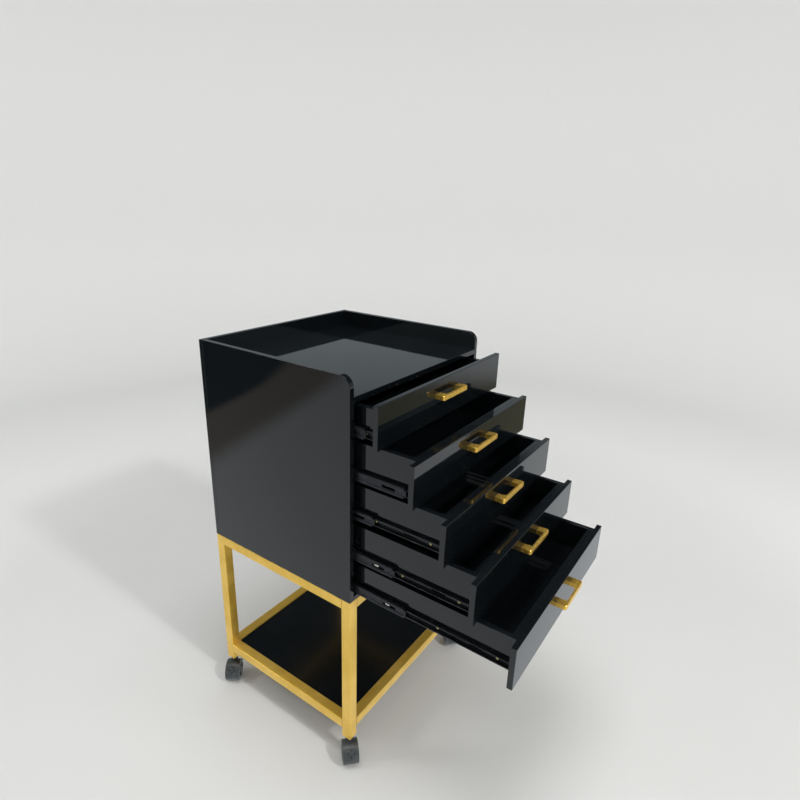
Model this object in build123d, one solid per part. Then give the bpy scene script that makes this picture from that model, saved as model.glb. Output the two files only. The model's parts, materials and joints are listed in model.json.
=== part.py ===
from build123d import *
import os

# A spa trolley cart: a gloss cabinet with five drawers, on a square-tube stand with a lower shelf and
# four twin-wheel casters. Millimetres, +X right, the drawers open towards -Y, +Z up from the floor.
# The model is built with the cabinet's front edges on y = 0 and its middle on x = 0, and every node
# is then moved so that the origin is the middle of the whole cart's footprint.

# Cabinet
CABINET_WIDTH = 400.0
CABINET_DEPTH = 351.5
CABINET_BOTTOM = 364.5
CABINET_TOP = 767.0
SIDE_THICKNESS = 10.0
BACK_THICKNESS = 9.0
DECK_THICKNESS = 10.0
FLOOR_THICKNESS = 9.0
TRAY_DEPTH = 33.5
TRAY_CORNER_RADIUS = 19.0
EDGE_SOFTENING = 0.8

# Stand
TUBE_SIZE = 20.0
TUBE_WALL = 1.5
TUBE_CORNER_RADIUS = 2.0
LEG_BOTTOM = 51.0
LOWER_RAIL_BOTTOM = 70.0
SHELF_THICKNESS = 9.0
SHELF_BELOW_RAIL_TOP = 3.5

# Drawers, from the top one down
DRAWER_COUNT = 5
DRAWER_PITCH = 74.8
DRAWER_OPEN_AT_REST = (40.9, 106.8, 163.6, 217.7, 286.3)
FRONT_WIDTH = 397.0
FRONT_HEIGHT = 71.3
FRONT_THICKNESS = 9.0
FRONT_TOP_BELOW_DECK = 1.0
CLOSED_GAP = 1.0
BOX_WIDTH = 360.0
BOX_DEPTH = 320.0
BOX_HEIGHT = 62.0
TOP_BOX_LOWERED = 14.0
BOTTOM_BOX_RAISED = 4.0
BOX_WALL = 9.0
BOX_FLOOR = 5.0
BOX_FLOOR_ABOVE_EDGE = 2.0

# Handles
HANDLE_LENGTH = 80.0
HANDLE_PROJECTION = 17.5
HANDLE_HEIGHT = 9.0
HANDLE_BAR = 4.0
HANDLE_POST = 15.0
HANDLE_OUTER_RADIUS = 3.5
HANDLE_SOFTENING = 0.9
HANDLE_BASE_DEPTH = 7.4
HANDLE_BASE_INSET = 0.5
HANDLE_SEAM_WIDTH = 0.5
HANDLE_SEAM_INSET = 1.3
HANDLE_TOP_BELOW_FRONT_TOP = 22.4

# Telescopic slides: a cabinet member, a middle member and a drawer member on each side
SLIDE_LENGTH = 300.0
SLIDE_SHEET = 1.2
SLIDE_BEND_RADIUS = 1.6
SLIDE_SETBACK = 1.0
SLIDE_BELOW_FRONT_TOP = (55.5, 55.5, 51.0, 54.5, 45.0)
CABINET_MEMBER_HEIGHT = 25.0
CABINET_MEMBER_DEPTH = 5.8
MIDDLE_MEMBER_HEIGHT = 18.0
MIDDLE_MEMBER_DEPTH = 5.7
MIDDLE_MEMBER_LENGTH = 290.0
MIDDLE_MEMBER_GAP = 0.6
MIDDLE_MEMBER_AT_REST = (21.0, 97.0, 39.5, 81.0, 104.5)
MIDDLE_BAND_HEIGHT = 8.6
MIDDLE_BAND_RECESS = 0.8
MIDDLE_TONGUE_LENGTH = 4.0
DIMPLE_RADIUS = 2.0
DIMPLE_DEPTH = 0.5
DIMPLE_FROM_END = 11.0
DRAWER_MEMBER_HEIGHT = 12.6
DRAWER_MEMBER_DEPTH = 5.8
DRAWER_MEMBER_SETBACK = 2.0
MEMBER_END_RADIUS = 4.0
SLOT_LENGTH = 26.0
SLOT_WIDTH = 5.0
SLOT_FROM_END = 32.5

# Screws
SCREW_RADIUS = 1.7
SCREW_LENGTH = 7.5
SCREW_HEAD_RADIUS = 2.9
SCREW_HEAD_HEIGHT = 1.8
SCREW_DOME_RADIUS = 1.5
SCREW_HOLE_PLAY = 0.2
SCREW_CROSS_DEPTH = 0.8
SCREW_CROSS_LENGTH = 3.4
SCREW_CROSS_WIDTH = 0.8
FLAT_HEAD_RADIUS = 2.9
FLAT_HEAD_HEIGHT = 1.1
CABINET_SCREW_PLACES = (36.0, 150.0, 264.0)
DRAWER_SCREW_PLACES = (22.0, 124.0, 265.0)
HANDLE_SCREW_RADIUS = 2.0
HANDLE_SCREW_GRIP = 12.5

# Casters
WHEEL_RADIUS = 20.0
WHEEL_WIDTH = 8.0
WHEEL_SHOULDER = 1.6
WHEEL_DISH_DEPTH = 1.5
WHEEL_DISH_RADIUS = 14.5
WHEEL_HUB_RADIUS = 6.0
CASTER_TRAIL = 11.0
HOOD_CORE_WIDTH = 13.4
HOOD_WHEEL_GAP = 0.3
HOOD_SHELL = 1.5
HOOD_OVER_WHEEL = 0.4
HOOD_ROUNDING = 1.2
HOOD_LEADING_EDGE = 26.0
HOOD_TRAILING_EDGE = 4.0
HOOD_CORE_BOTTOM = 8.0
HOOD_TOP = 46.2
HOOD_CORNER_RADIUS = 2.5
HOOD_HOLE_RADIUS = 1.3
HOOD_HOLE_DEPTH = 4.0
HOOD_HOLE_ANGLES = (52.0, 22.0)
HOOD_SLOT_DEPTH = 2.5
HOOD_SLOT_WIDTH = 1.3
HOOD_SLOT_LENGTH = 5.0
HOOD_SLOT_OFFSET = 5.2
HOOD_SLOT_ANGLE = 34.0
AXLE_RADIUS = 3.0
AXLE_LENGTH = 26.0
STEM_RADIUS = 4.0
STEM_BOTTOM = 26.0
STEM_COLLAR_RADIUS = 7.0
STEM_COLLAR_BOTTOM = 46.5
SOCKET_HEIGHT = 24.0
RUNNING_FIT = 0.06
CASTER_HEADINGS = {
    "front_left": -43.0,
    "front_right": -43.0,
    "back_left": -53.0,
    "back_right": 53.0,
}

# How far a cutter reaches past what it cuts
CUTTER_SPARE = 1.0

# Worked out from the sizes above
HALF_WIDTH = CABINET_WIDTH / 2
INNER_HALF_WIDTH = HALF_WIDTH - SIDE_THICKNESS
PANEL_DEPTH = CABINET_DEPTH - BACK_THICKNESS
DECK_TOP = CABINET_TOP - TRAY_DEPTH
DECK_BOTTOM = DECK_TOP - DECK_THICKNESS
FLOOR_TOP = CABINET_BOTTOM + FLOOR_THICKNESS
HALF_BOX_WIDTH = BOX_WIDTH / 2
LEG_X = HALF_WIDTH - TUBE_SIZE / 2
LEG_FRONT_Y = TUBE_SIZE / 2
LEG_BACK_Y = CABINET_DEPTH - TUBE_SIZE / 2
HOOD_RADIUS = WHEEL_RADIUS + HOOD_OVER_WHEEL + HOOD_SHELL
WHEEL_INNER_FACE = HOOD_CORE_WIDTH / 2 + HOOD_WHEEL_GAP
WHEEL_OUTER_FACE = WHEEL_INNER_FACE + WHEEL_WIDTH
CASTER_PLACES = {
    "front_left": (-LEG_X, LEG_FRONT_Y),
    "front_right": (LEG_X, LEG_FRONT_Y),
    "back_left": (-LEG_X, LEG_BACK_Y),
    "back_right": (LEG_X, LEG_BACK_Y),
}


def front_top(number):
    """Return the height of a drawer front's top edge."""
    return DECK_TOP - FRONT_TOP_BELOW_DECK - DRAWER_PITCH * (number - 1)


def front_face(number):
    """Return the y of a drawer front's outer face at rest."""
    return -(FRONT_THICKNESS + CLOSED_GAP + DRAWER_OPEN_AT_REST[number - 1])


def box_top(number):
    """Return the height of a drawer box's top edges: the top box clears the deck."""
    lowered = TOP_BOX_LOWERED if number == 1 else 0.0
    return front_top(number) - lowered


def box_bottom(number):
    """Return the height of a drawer box's bottom edges: the bottom box clears the cabinet floor."""
    raised = BOTTOM_BOX_RAISED if number == DRAWER_COUNT else 0.0
    return front_top(number) - BOX_HEIGHT + raised


def slide_height(number):
    """Return the height of a drawer's slides."""
    return front_top(number) - SLIDE_BELOW_FRONT_TOP[number - 1]


def block(low, high):
    """Return a box between two corners."""
    size = [b - a for a, b in zip(low, high)]
    middle = [(a + b) / 2 for a, b in zip(low, high)]
    return Pos(*middle) * Box(*size)


def group(shapes):
    """Return one compound of the separate solids of several shapes."""
    return Compound([solid for shape in shapes for solid in shape.solids()])


def both_sides(shape):
    """Return a shape and its mirror image across the cart's middle."""
    return [shape, mirror(shape, about=Plane.YZ)]


# ---- Cabinet ----

def side_panel():
    """Return the right side panel, whose top front corner is a large round."""
    panel = block(
        (INNER_HALF_WIDTH, 0, CABINET_BOTTOM),
        (HALF_WIDTH, PANEL_DEPTH, CABINET_TOP),
    )
    top_edges = panel.edges().filter_by(Axis.X).group_by(Axis.Z)[-1]
    panel = fillet(top_edges.sort_by(Axis.Y)[0], TRAY_CORNER_RADIUS)
    return fillet(panel.edges(), EDGE_SOFTENING)


def back_panel():
    """Return the back panel, which covers the side panels' ends and rises as high as they do."""
    panel = block(
        (-HALF_WIDTH, PANEL_DEPTH, CABINET_BOTTOM),
        (HALF_WIDTH, CABINET_DEPTH, CABINET_TOP),
    )
    return fillet(panel.edges(), EDGE_SOFTENING)


def level_panel(bottom, top):
    """Return a level panel between the sides, with a softened front edge."""
    panel = block((-INNER_HALF_WIDTH, 0, bottom), (INNER_HALF_WIDTH, PANEL_DEPTH, top))
    front_edges = panel.edges().filter_by(Axis.X).group_by(Axis.Y)[0]
    return fillet(front_edges, EDGE_SOFTENING)


# ---- Stand ----

def square_tube(length):
    """Return a square tube along +Z from the origin."""
    outer = RectangleRounded(TUBE_SIZE, TUBE_SIZE, TUBE_CORNER_RADIUS)
    return extrude(outer - tube_bore(), length)


def tube_bore():
    """Return the outline of a tube's inside."""
    side = TUBE_SIZE - 2 * TUBE_WALL
    return RectangleRounded(side, side, TUBE_CORNER_RADIUS - TUBE_WALL)


def stand_legs():
    """Return the four legs."""
    leg = square_tube(CABINET_BOTTOM - LEG_BOTTOM)
    return group([Pos(x, y, LEG_BOTTOM) * leg for x, y in CASTER_PLACES.values()])


def rail_heights():
    """Return the heights of the lower and the upper rails' middles."""
    return (LOWER_RAIL_BOTTOM + TUBE_SIZE / 2, CABINET_BOTTOM - TUBE_SIZE / 2)


def stand_side_rails():
    """Return the rails that run front to back between the legs."""
    rail = Rot(-90, 0, 0) * square_tube(CABINET_DEPTH - 2 * TUBE_SIZE)
    return group([Pos(x, TUBE_SIZE, z) * rail for x in (-LEG_X, LEG_X) for z in rail_heights()])


def stand_cross_rails():
    """Return the rails that run left to right between the legs."""
    start = -(HALF_WIDTH - TUBE_SIZE)
    rail = Rot(0, 90, 0) * square_tube(-2 * start)
    return group([Pos(start, y, z) * rail for y in (LEG_FRONT_Y, LEG_BACK_Y) for z in rail_heights()])


def shelf_panel():
    """Return the lower shelf, let in between the lower rails."""
    top = LOWER_RAIL_BOTTOM + TUBE_SIZE - SHELF_BELOW_RAIL_TOP
    return block(
        (TUBE_SIZE - HALF_WIDTH, TUBE_SIZE, top - SHELF_THICKNESS),
        (HALF_WIDTH - TUBE_SIZE, CABINET_DEPTH - TUBE_SIZE, top),
    )


# ---- Slides ----

def channel(height, depth, length):
    """Return a folded channel along +Y: its web stands on x = 0 and its flanges reach x = depth."""
    outer = RectangleRounded(2 * depth, height, SLIDE_BEND_RADIUS)
    inner = RectangleRounded(
        2 * (depth - SLIDE_SHEET),
        height - 2 * SLIDE_SHEET,
        SLIDE_BEND_RADIUS - SLIDE_SHEET,
    )
    folded = Pos(depth, 0) * (outer - inner)
    section = folded & Pos(depth / 2, 0) * Rectangle(depth, height)
    member = extrude(Plane.XZ * section, -length)
    return member & shaped_ends(height, depth, length)


def shaped_ends(height, depth, length):
    """Return the side outline of a slide member, with rounded corners, as a plate."""
    outline = Pos(length / 2, 0) * RectangleRounded(length, height, MEMBER_END_RADIUS)
    return extrude(Plane.YZ * outline, depth)


def slot():
    """Return a cutter for a lengthwise slot through a member's web."""
    outline = Pos(SLOT_FROM_END, 0) * SlotOverall(SLOT_LENGTH, SLOT_WIDTH)
    return extrude(Plane.YZ * outline, 2 * SLIDE_SHEET, both=True)


def across(shape):
    """Return a shape that was built along +Z, turned to run along +X."""
    return Rot(0, 90, 0) * shape


def cabinet_member(number):
    """Return the right cabinet member, with its flanges towards the drawer."""
    member = channel(CABINET_MEMBER_HEIGHT, CABINET_MEMBER_DEPTH, SLIDE_LENGTH)
    hole = across(Cone(
        FLAT_HEAD_RADIUS + SCREW_HOLE_PLAY,
        SCREW_RADIUS + SCREW_HOLE_PLAY,
        SLIDE_SHEET,
        align=(Align.CENTER, Align.CENTER, Align.MIN),
    ))
    for place in CABINET_SCREW_PLACES:
        member -= Pos(0, place, 0) * mirror(Pos(-SLIDE_SHEET, 0, 0) * hole, about=Plane.YZ)
    turned = mirror(member, about=Plane.YZ)
    return Pos(INNER_HALF_WIDTH, SLIDE_SETBACK, slide_height(number)) * turned


def middle_band(length):
    """Return the sunk band along the middle of a middle member's web, as a plate."""
    height = MIDDLE_BAND_HEIGHT + 2 * SLIDE_SHEET
    return block(
        (MIDDLE_BAND_RECESS, 0, -height / 2),
        (MIDDLE_BAND_RECESS + SLIDE_SHEET, length, height / 2),
    )


def middle_profile():
    """Return a middle member with a sunk band along its web, which runs on as a tongue in front."""
    member = channel(MIDDLE_MEMBER_HEIGHT, MIDDLE_MEMBER_DEPTH, MIDDLE_MEMBER_LENGTH)
    half_band = MIDDLE_BAND_HEIGHT / 2
    sunk = block(
        (-CUTTER_SPARE, -CUTTER_SPARE, -half_band),
        (MIDDLE_BAND_RECESS, MIDDLE_MEMBER_LENGTH + CUTTER_SPARE, half_band),
    )
    rim_ends = block(
        (-CUTTER_SPARE, -CUTTER_SPARE, -MIDDLE_MEMBER_HEIGHT),
        (MIDDLE_MEMBER_DEPTH + CUTTER_SPARE, MIDDLE_TONGUE_LENGTH, MIDDLE_MEMBER_HEIGHT),
    )
    return member - sunk - rim_ends + middle_band(MIDDLE_MEMBER_LENGTH)


def middle_member(number):
    """Return the right middle member at rest, with the dimple and the slot near its front end."""
    dimple = across(Cylinder(DIMPLE_RADIUS, 2 * DIMPLE_DEPTH))
    member = middle_profile() - slot() - Pos(MIDDLE_BAND_RECESS, DIMPLE_FROM_END, 0) * dimple
    turned = mirror(member, about=Plane.YZ)
    x = INNER_HALF_WIDTH - SLIDE_SHEET - MIDDLE_MEMBER_GAP
    return Pos(x, -MIDDLE_MEMBER_AT_REST[number - 1], slide_height(number)) * turned


def drawer_member_front(number):
    """Return the y of a drawer member's front end at rest."""
    return front_face(number) + FRONT_THICKNESS + DRAWER_MEMBER_SETBACK


def drawer_member(number):
    """Return the right drawer member, on the outside of the drawer box."""
    member = channel(DRAWER_MEMBER_HEIGHT, DRAWER_MEMBER_DEPTH, SLIDE_LENGTH)
    hole = across(Cylinder(SCREW_RADIUS + SCREW_HOLE_PLAY, 2 * SLIDE_SHEET + CUTTER_SPARE))
    for place in DRAWER_SCREW_PLACES:
        member -= Pos(0, place, 0) * hole
    member -= Pos(0, SLOT_LENGTH, 0) * slot()
    return Pos(HALF_BOX_WIDTH, drawer_member_front(number), slide_height(number)) * member


# ---- Screws ----

def cross_recess():
    """Return a cutter for the driver's cross in a screw head, centred on its top face."""
    blade = Box(SCREW_CROSS_WIDTH, SCREW_CROSS_LENGTH, 2 * SCREW_CROSS_DEPTH)
    return blade + Rot(0, 0, 90) * blade


def pan_head_screw(radius, length):
    """Return a domed screw along Z: the head stands on z = 0 and the shank goes down."""
    head = Cylinder(
        SCREW_HEAD_RADIUS, SCREW_HEAD_HEIGHT, align=(Align.CENTER, Align.CENTER, Align.MIN)
    )
    head = fillet(head.edges().sort_by(Axis.Z)[-1], SCREW_DOME_RADIUS)
    shank = Cylinder(radius, length, align=(Align.CENTER, Align.CENTER, Align.MAX))
    return head + shank - Pos(0, 0, SCREW_HEAD_HEIGHT) * cross_recess()


def flat_head_screw():
    """Return a countersunk screw along Z: the head's top is on z = 0 and the shank goes down."""
    head = Cone(
        SCREW_RADIUS,
        FLAT_HEAD_RADIUS,
        FLAT_HEAD_HEIGHT,
        align=(Align.CENTER, Align.CENTER, Align.MAX),
    )
    shank = Cylinder(SCREW_RADIUS, SCREW_LENGTH, align=(Align.CENTER, Align.CENTER, Align.MAX))
    return head + shank - cross_recess()


def cabinet_screws():
    """Return the screws that hold the cabinet members to the side panels."""
    screw = Rot(0, -90, 0) * flat_head_screw()
    x = INNER_HALF_WIDTH - FLAT_HEAD_HEIGHT
    screws = []
    for number in range(1, DRAWER_COUNT + 1):
        for place in CABINET_SCREW_PLACES:
            screws += both_sides(Pos(x, SLIDE_SETBACK + place, slide_height(number)) * screw)
    return group(screws)


def drawer_screws(number):
    """Return the screws that hold a drawer's slides and its handle."""
    screw = across(pan_head_screw(SCREW_RADIUS, SCREW_LENGTH))
    x = HALF_BOX_WIDTH + SLIDE_SHEET
    screws = []
    for place in DRAWER_SCREW_PLACES:
        y = drawer_member_front(number) + place
        screws += both_sides(Pos(x, y, slide_height(number)) * screw)
    grip = BOX_WALL + FRONT_THICKNESS + HANDLE_SCREW_GRIP
    handle_screw = Rot(-90, 0, 0) * pan_head_screw(HANDLE_SCREW_RADIUS, grip)
    y = front_face(number) + FRONT_THICKNESS + BOX_WALL
    x = (HANDLE_LENGTH - HANDLE_POST) / 2
    screws += both_sides(Pos(x, y, handle_height(number)) * handle_screw)
    return group(screws)


# ---- Drawers ----

def drawer_walls(number):
    """Return the left, right, back and front walls of a drawer box."""
    front = front_face(number) + FRONT_THICKNESS
    back = front + BOX_DEPTH
    low = box_bottom(number)
    high = box_top(number)
    inner = HALF_BOX_WIDTH - BOX_WALL
    side = block((inner, front, low), (HALF_BOX_WIDTH, back, high))
    top_edges = side.edges().filter_by(Axis.Y).group_by(Axis.Z)[-1]
    side = fillet(top_edges, EDGE_SOFTENING)
    front_wall = block((-inner, front, low), (inner, front + BOX_WALL, high))
    back_wall = block((-inner, back - BOX_WALL, low), (inner, back, high))
    return group(both_sides(side) + [front_wall, back_wall])


def drawer_bottom(number):
    """Return the bottom panel inside a drawer's walls."""
    front = front_face(number) + FRONT_THICKNESS + BOX_WALL
    low = box_bottom(number) + BOX_FLOOR_ABOVE_EDGE
    inner = HALF_BOX_WIDTH - BOX_WALL
    back = front + BOX_DEPTH - 2 * BOX_WALL
    return block((-inner, front, low), (inner, back, low + BOX_FLOOR))


def drawer_front(number):
    """Return a drawer's overlay front."""
    face = front_face(number)
    top = front_top(number)
    panel = block(
        (-FRONT_WIDTH / 2, face, top - FRONT_HEIGHT),
        (FRONT_WIDTH / 2, face + FRONT_THICKNESS, top),
    )
    return fillet(panel.edges(), EDGE_SOFTENING)


def handle_height(number):
    """Return the height of a handle's middle."""
    return front_top(number) - HANDLE_TOP_BELOW_FRONT_TOP - HANDLE_HEIGHT / 2


def handle_base():
    """Return the blocks under a handle's two posts, each with the thin neck that makes the seam."""
    x = (HANDLE_LENGTH - HANDLE_POST) / 2
    width = HANDLE_POST - 2 * HANDLE_BASE_INSET
    height = HANDLE_HEIGHT - 2 * HANDLE_BASE_INSET
    base = block(
        (x - width / 2, -HANDLE_BASE_DEPTH, -height / 2),
        (x + width / 2, 0, height / 2),
    )
    width = HANDLE_POST - 2 * HANDLE_SEAM_INSET
    height = HANDLE_HEIGHT - 2 * HANDLE_SEAM_INSET
    neck = block(
        (x - width / 2, -HANDLE_BASE_DEPTH - HANDLE_SEAM_WIDTH, -height / 2),
        (x + width / 2, -HANDLE_BASE_DEPTH, height / 2),
    )
    return both_sides(base + neck)


def handle_bow():
    """Return a handle's bow: two wide posts joined by a flat bar, with chamfers round its front."""
    back = HANDLE_BASE_DEPTH + HANDLE_SEAM_WIDTH
    depth = HANDLE_PROJECTION - back
    outline = Pos(0, -back - depth / 2) * Rectangle(HANDLE_LENGTH, depth)
    outline = fillet(outline.vertices().group_by(Axis.Y)[0], HANDLE_OUTER_RADIUS)
    reach = depth - HANDLE_BAR
    opening = Pos(0, -back - reach / 2) * Rectangle(HANDLE_LENGTH - 2 * HANDLE_POST, reach)
    bow = extrude(outline - opening, HANDLE_HEIGHT / 2, both=True)
    levels = bow.edges().filter_by(Axis.Z, reverse=True).group_by(Axis.Z)
    inner_edge = HANDLE_LENGTH / 2 - HANDLE_POST
    outer_edges = []
    for edge in levels[0] + levels[-1]:
        place = edge.center()
        on_front = place.Y < -back - reach - HANDLE_SOFTENING
        on_end = abs(place.X) > inner_edge + HANDLE_POST / 2 + HANDLE_SOFTENING
        if on_front or on_end:
            outer_edges.append(edge)
    return chamfer(outer_edges, HANDLE_SOFTENING)


def drawer_handle(number):
    """Return a bow handle on its two base blocks."""
    handle = group([*handle_base(), handle_bow()])
    return Pos(0, front_face(number), handle_height(number)) * handle


# ---- Casters ----

def place_caster(name, shape):
    """Return a caster piece, built with its stem on the origin and its trail along -Y, in place."""
    x, y = CASTER_PLACES[name]
    return Pos(x, y, 0) * Rot(0, 0, CASTER_HEADINGS[name]) * shape


def along_axle(shape):
    """Return a shape built round the Z axis, turned onto the wheels' axle."""
    return Pos(0, -CASTER_TRAIL, WHEEL_RADIUS) * Rot(0, 90, 0) * shape


def hood_shell():
    """Return the shell over a caster's wheels, which hangs low behind them and ends high in front."""
    overall = 2 * WHEEL_OUTER_FACE
    outside = Cylinder(HOOD_RADIUS, overall)
    outside = fillet(outside.edges().filter_by(GeomType.CIRCLE), HOOD_ROUNDING)
    shell = along_axle(outside - Cylinder(HOOD_RADIUS - HOOD_SHELL, overall + CUTTER_SPARE))
    reach = 2 * HOOD_RADIUS
    half = WHEEL_OUTER_FACE
    trailing = block((-half, -reach, HOOD_TRAILING_EDGE), (half, -CASTER_TRAIL, HOOD_TOP))
    trailing = fillet(trailing.edges().filter_by(Axis.Y), HOOD_CORNER_RADIUS)
    leading = block((-half, -CASTER_TRAIL, HOOD_LEADING_EDGE), (half, reach, HOOD_TOP))
    return shell & (trailing + leading)


def on_hood(angle, shape):
    """Return a cutter that was built on the origin, moved onto a hood's back at an angle above level."""
    return Pos(0, -CASTER_TRAIL, WHEEL_RADIUS) * Rot(90 - angle, 0, 0) * Pos(0, 0, HOOD_RADIUS) * shape


def hood_sinkings():
    """Return the cutters for the two blind holes and the two short slots in a hood's back."""
    hole = Cylinder(HOOD_HOLE_RADIUS, 2 * HOOD_HOLE_DEPTH)
    narrow_slot = Box(HOOD_SLOT_WIDTH, HOOD_SLOT_LENGTH, 2 * HOOD_SLOT_DEPTH)
    cutters = [on_hood(angle, hole) for angle in HOOD_HOLE_ANGLES]
    for offset in (-HOOD_SLOT_OFFSET, HOOD_SLOT_OFFSET):
        cutters.append(on_hood(HOOD_SLOT_ANGLE, Pos(offset, 0, 0) * narrow_slot))
    return cutters


def caster_hood():
    """Return a caster's hood: a core between the wheels, a shell over them and a boss for the stem."""
    reach = 2 * HOOD_RADIUS
    core = along_axle(Cylinder(HOOD_RADIUS - HOOD_SHELL / 2, HOOD_CORE_WIDTH))
    core &= block((-reach, -reach, HOOD_CORE_BOTTOM), (reach, reach, HOOD_TOP))
    boss_base = STEM_BOTTOM - STEM_RADIUS
    boss = Pos(0, 0, boss_base) * Cylinder(
        HOOD_CORE_WIDTH / 2, HOOD_TOP - boss_base, align=(Align.CENTER, Align.CENTER, Align.MIN)
    )
    stem_bore = Pos(0, 0, STEM_BOTTOM - RUNNING_FIT) * Cylinder(
        STEM_RADIUS + RUNNING_FIT, HOOD_TOP, align=(Align.CENTER, Align.CENTER, Align.MIN)
    )
    axle_bore = along_axle(Cylinder(AXLE_RADIUS, HOOD_CORE_WIDTH + CUTTER_SPARE))
    hood = hood_shell() + core + boss - stem_bore - axle_bore
    for cutter in hood_sinkings():
        hood -= cutter
    return hood


def caster_axle():
    """Return the axle pin, which the hood's core grips."""
    return along_axle(Cylinder(AXLE_RADIUS, AXLE_LENGTH))


def caster_wheels():
    """Return the two wheels, each with round shoulders, a dished outer face and a blind bore."""
    wheel = Cylinder(WHEEL_RADIUS, WHEEL_WIDTH)
    wheel = fillet(wheel.edges().filter_by(GeomType.CIRCLE), WHEEL_SHOULDER)
    dish = Cylinder(WHEEL_DISH_RADIUS, 2 * WHEEL_DISH_DEPTH)
    dish -= Cylinder(WHEEL_HUB_RADIUS, 2 * WHEEL_DISH_DEPTH)
    wheel -= Pos(0, 0, WHEEL_WIDTH / 2) * dish
    middle = WHEEL_INNER_FACE + WHEEL_WIDTH / 2
    bore_depth = AXLE_LENGTH / 2 - WHEEL_INNER_FACE + RUNNING_FIT
    bore = Pos(0, 0, -WHEEL_WIDTH / 2) * Cylinder(
        AXLE_RADIUS + RUNNING_FIT, bore_depth, align=(Align.CENTER, Align.CENTER, Align.MIN)
    )
    right = Pos(0, 0, middle) * (wheel - bore)
    return group([along_axle(right), along_axle(mirror(right, about=Plane.XY))])


def caster_stems():
    """Return the four stems, each with the collar that seats under its leg."""
    stem = Pos(0, 0, STEM_BOTTOM) * Cylinder(
        STEM_RADIUS,
        LEG_BOTTOM + SOCKET_HEIGHT - STEM_BOTTOM,
        align=(Align.CENTER, Align.CENTER, Align.MIN),
    )
    stem += Pos(0, 0, STEM_COLLAR_BOTTOM) * Cylinder(
        STEM_COLLAR_RADIUS,
        LEG_BOTTOM - STEM_COLLAR_BOTTOM,
        align=(Align.CENTER, Align.CENTER, Align.MIN),
    )
    return group([Pos(x, y, 0) * stem for x, y in CASTER_PLACES.values()])


def caster_sockets():
    """Return the four plugs inside the legs that the stems screw into."""
    plug = Pos(0, 0, LEG_BOTTOM) * extrude(tube_bore() - Circle(STEM_RADIUS), SOCKET_HEIGHT)
    return group([Pos(x, y, 0) * plug for x, y in CASTER_PLACES.values()])


# ---- The whole cart ----

def fixed_nodes():
    """Return the nodes of the cabinet and stand."""
    members = []
    for number in range(1, DRAWER_COUNT + 1):
        members += both_sides(cabinet_member(number))
    return {
        "side_panel_left": mirror(side_panel(), about=Plane.YZ),
        "side_panel_right": side_panel(),
        "back_panel": back_panel(),
        "top_deck": level_panel(DECK_BOTTOM, DECK_TOP),
        "bottom_panel": level_panel(CABINET_BOTTOM, FLOOR_TOP),
        "stand_legs": stand_legs(),
        "stand_side_rails": stand_side_rails(),
        "stand_cross_rails": stand_cross_rails(),
        "shelf_panel": shelf_panel(),
        "slide_cabinet_members": group(members),
        "cabinet_screws": cabinet_screws(),
        "caster_stems": caster_stems(),
        "caster_sockets": caster_sockets(),
    }


def drawer_nodes(number):
    """Return the nodes of one drawer and its slides' middle members."""
    drawer = f"drawer_{number}"
    return {
        f"{drawer}_front": drawer_front(number),
        f"{drawer}_walls": drawer_walls(number),
        f"{drawer}_bottom": drawer_bottom(number),
        f"{drawer}_handle": drawer_handle(number),
        f"{drawer}_slide_members": group(both_sides(drawer_member(number))),
        f"{drawer}_screws": drawer_screws(number),
        f"slide_{number}_middle_members": group(both_sides(middle_member(number))),
    }


def caster_nodes(name):
    """Return the nodes of one caster."""
    return {
        f"caster_{name}_hood": place_caster(name, caster_hood()),
        f"caster_{name}_axle": place_caster(name, caster_axle()),
        f"caster_{name}_wheels": place_caster(name, caster_wheels()),
    }


def all_nodes():
    """Return every node by name, before the move to the origin."""
    nodes = fixed_nodes()
    for number in range(1, DRAWER_COUNT + 1):
        nodes.update(drawer_nodes(number))
    for name in CASTER_PLACES:
        nodes.update(caster_nodes(name))
    return nodes


def origin_shift(nodes):
    """Return the move that puts the origin under the middle of the cart's box."""
    box = Compound(list(nodes.values())).bounding_box()
    middle = box.center()
    return (-middle.X, -middle.Y, -box.min.Z)


NODES = all_nodes()
SHIFT = origin_shift(NODES)

os.makedirs("parts", exist_ok=True)
for node_name, node_shape in NODES.items():
    export_step(Pos(*SHIFT) * node_shape, f"parts/{node_name}.step")
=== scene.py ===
import json
import math
import random

import bmesh
import bpy
from mathutils import Matrix, Vector


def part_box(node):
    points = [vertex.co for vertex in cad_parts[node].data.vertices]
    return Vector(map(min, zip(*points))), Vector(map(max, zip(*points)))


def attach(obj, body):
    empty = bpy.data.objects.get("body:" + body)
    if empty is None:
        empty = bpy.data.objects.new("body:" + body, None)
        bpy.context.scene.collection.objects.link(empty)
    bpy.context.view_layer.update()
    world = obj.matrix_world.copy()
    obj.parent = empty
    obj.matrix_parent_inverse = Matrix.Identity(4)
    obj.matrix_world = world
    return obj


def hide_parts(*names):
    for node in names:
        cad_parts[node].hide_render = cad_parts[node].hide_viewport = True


# A gloss black spa trolley with gold frame and handles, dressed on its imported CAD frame. Metres.

MM = 0.001
DRAWERS = (1, 2, 3, 4, 5)
DRAWERS_WITH_BUFFERS = (4, 5)
CASTERS = ("front_left", "front_right", "back_left", "back_right")

# Camera, placed from the cabinet's middle on the floor, in metres, degrees and millimetres of lens
CAMERA_FROM_CABINET = (-0.7964, -0.6750)
CAMERA_HEIGHT = 1.0106
CAMERA_AZIMUTH = 55.52
CAMERA_PITCH = 19.62
CAMERA_ROLL = 1.81
CAMERA_LENS = 25.12
SENSOR_WIDTH = 36.0

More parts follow.
